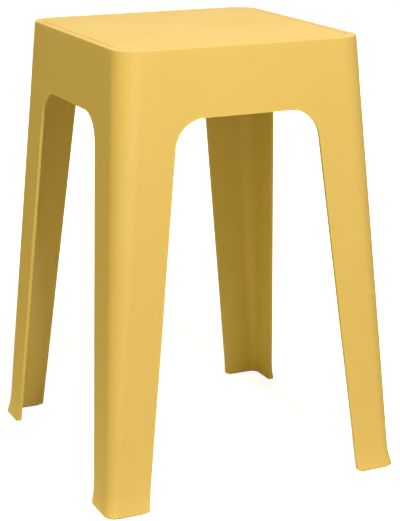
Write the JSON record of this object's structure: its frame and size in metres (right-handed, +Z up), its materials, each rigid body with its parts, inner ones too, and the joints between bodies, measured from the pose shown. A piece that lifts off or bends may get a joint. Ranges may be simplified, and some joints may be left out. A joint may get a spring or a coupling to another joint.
{
  "type": "stacking stool",
  "caption": "Square moulded stacking stool with a flat set-in seat panel, a short apron over round-cornered arches, and splayed L-section legs with flared feet on soft pads.",
  "frame": {"origin": "on the floor, under the middle of the seat", "axes": "+Z up; -Y is the side that faces the viewer in the picture, with +X to the viewer's right; the stool is alike on all sides"},
  "size_m": [0.3244, 0.3244, 0.45],
  "materials": {
    "moulded_body": "satin",
    "moulded_panel": "satin",
    "soft_pad": "matte"
  },
  "bodies": {
    "root": {"stool_body": "moulded_body", "seat_panel": "moulded_panel", "foot_pad_back_right": "soft_pad", "foot_pad_back_left": "soft_pad", "foot_pad_front_left": "soft_pad", "foot_pad_front_right": "soft_pad"}
  },
  "joints": []
}
